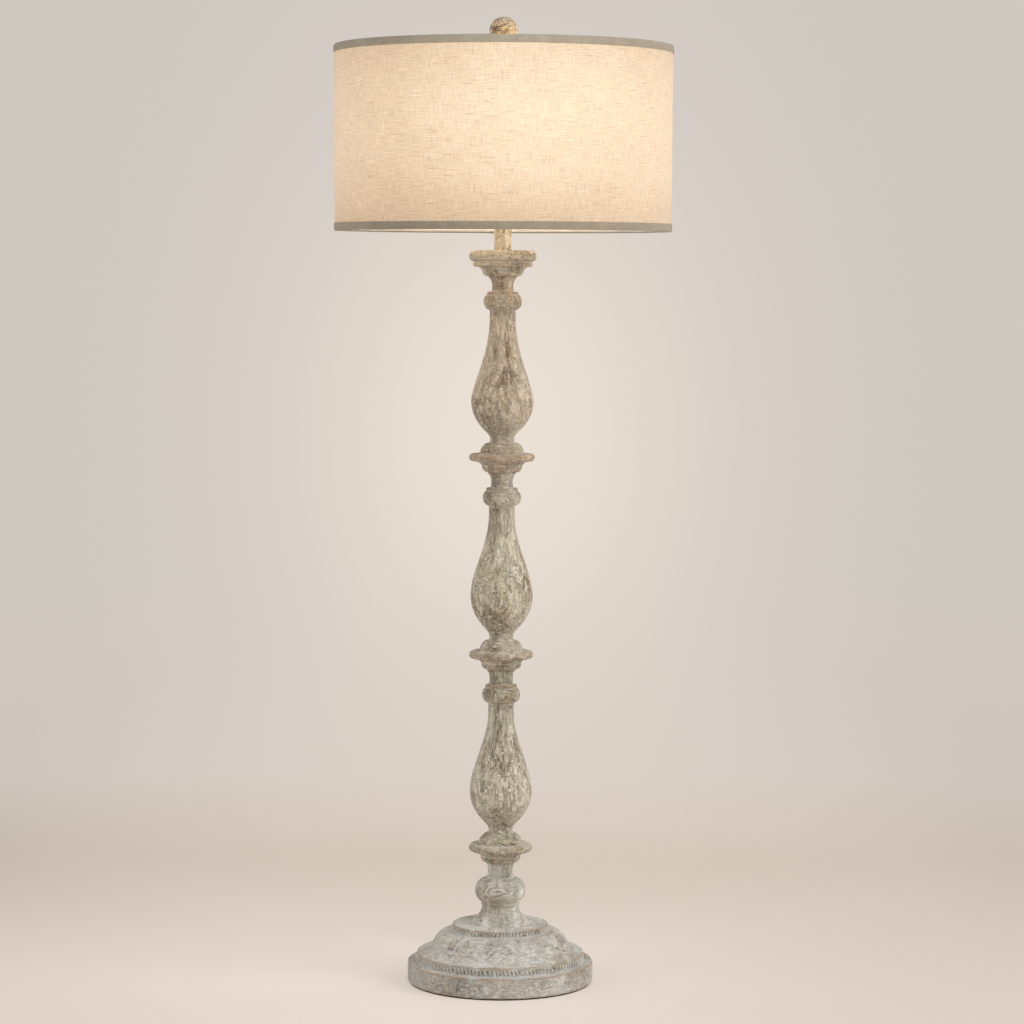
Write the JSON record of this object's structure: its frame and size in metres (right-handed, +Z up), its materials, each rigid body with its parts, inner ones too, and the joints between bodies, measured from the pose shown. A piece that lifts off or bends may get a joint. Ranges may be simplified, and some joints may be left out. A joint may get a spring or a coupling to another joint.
{
  "type": "candlestick floor lamp",
  "caption": "Tall turned-column floor lamp on a stepped round base, with a linen drum shade held by a harp and topped by a ball finial.",
  "frame": {"origin": "centre of the underside, on the floor", "axes": "+Z up along the lamp's axis, -Y the front of the picture, +X to its right"},
  "size_m": [0.5157, 0.5158, 1.48],
  "materials": {
    "pad": "matte foam",
    "base_wood": "whitewashed, weathered",
    "pedestal_wood": "whitewashed, weathered",
    "lower_wood": "whitewashed, weathered",
    "middle_wood": "whitewashed, weathered",
    "upper_wood": "whitewashed, weathered",
    "cup_wood": "whitewashed, weathered",
    "neck_wood": "whitewashed, weathered",
    "finial_wood": "whitewashed, weathered",
    "ballast_iron": "as cast",
    "steel": "zinc plated",
    "brass": "satin",
    "black_moulding": "moulded",
    "fibre": "waxed fibre",
    "bulb_glass": "frosted",
    "stem_glass": "clear",
    "filament": "glowing",
    "shade_linen": "slub linen weave",
    "shade_liner": "white sheet",
    "trim_tape": "fine woven tape"
  },
  "bodies": {
    "lamp_stand": {"floor_pad": "pad", "base_body": "base_wood", "ballast_weight": "ballast_iron", "cord_bushing": "black_moulding", "bottom_washer": "steel", "bottom_nut": "steel", "pedestal": "pedestal_wood", "spindle_lower": "lower_wood", "spindle_middle": "middle_wood", "spindle_upper": "upper_wood", "top_cup": "cup_wood", "pipe_base": "steel", "pipe_lower": "steel", "pipe_middle": "steel", "pipe_upper": "steel", "pipe_top": "steel", "pipe_couplings": "steel", "neck_tube": "neck_wood", "neck_washer": "steel", "neck_nut": "steel", "harp_saddle": "brass", "socket_cap": "brass", "socket_shell": "brass", "socket_insulator": "fibre", "socket_interior": "black_moulding", "screw_shell": "brass", "centre_contact": "brass", "terminal_screws": "brass"},
    "switch_key": {"switch_key": "black_moulding"},
    "bulb": {"bulb_contact": "steel", "bulb_insulator": "black_moulding", "bulb_cap": "steel", "bulb_glass": "bulb_glass", "bulb_stem": "stem_glass", "bulb_filament": "filament"},
    "harp": {"harp": "brass"},
    "ferrule_left": {"ferrule_left": "brass"},
    "ferrule_right": {"ferrule_right": "brass"},
    "harp_post": {"harp_post": "brass"},
    "shade": {"shade_fabric": "shade_linen", "shade_liner": "shade_liner", "shade_top_trim": "trim_tape", "shade_bottom_trim": "trim_tape", "shade_top_ring": "steel", "shade_bottom_ring": "steel", "spider_hub": "brass", "spider_arms": "brass"},
    "finial": {"finial_insert": "brass", "finial_ball": "finial_wood"}
  },
  "joints": [
    {"name": "switch_turn", "type": "hinge", "parent": "lamp_stand", "child": "switch_key", "pos_m": [0, -0.02, 1.20685], "axis": [0, -1, 0], "continuous": true},
    {"name": "bulb_lift", "type": "slide", "parent": "lamp_stand", "child": "bulb", "axis": [0, 0, 1], "range_m": [0, 0.03]},
    {"name": "harp_lift", "type": "slide", "parent": "lamp_stand", "child": "harp", "axis": [0, 0, 1], "range_m": [0, 0.03]},
    {"name": "ferrule_left_lift", "type": "slide", "parent": "harp", "child": "ferrule_left", "axis": [0, 0, 1], "range_m": [0, 0.01]},
    {"name": "ferrule_right_lift", "type": "slide", "parent": "harp", "child": "ferrule_right", "axis": [0, 0, 1], "range_m": [0, 0.01]},
    {"name": "shade_turn", "type": "hinge", "parent": "harp", "child": "harp_post", "pos_m": [0, 0, 1.41], "axis": [0, 0, 1], "continuous": true},
    {"name": "shade_lift", "type": "slide", "parent": "harp_post", "child": "shade", "axis": [0, 0, 1], "range_m": [0, 0.3]},
    {"name": "finial_lift", "type": "slide", "parent": "shade", "child": "finial", "axis": [0, 0, 1], "range_m": [0, 0.03]}
  ]
}
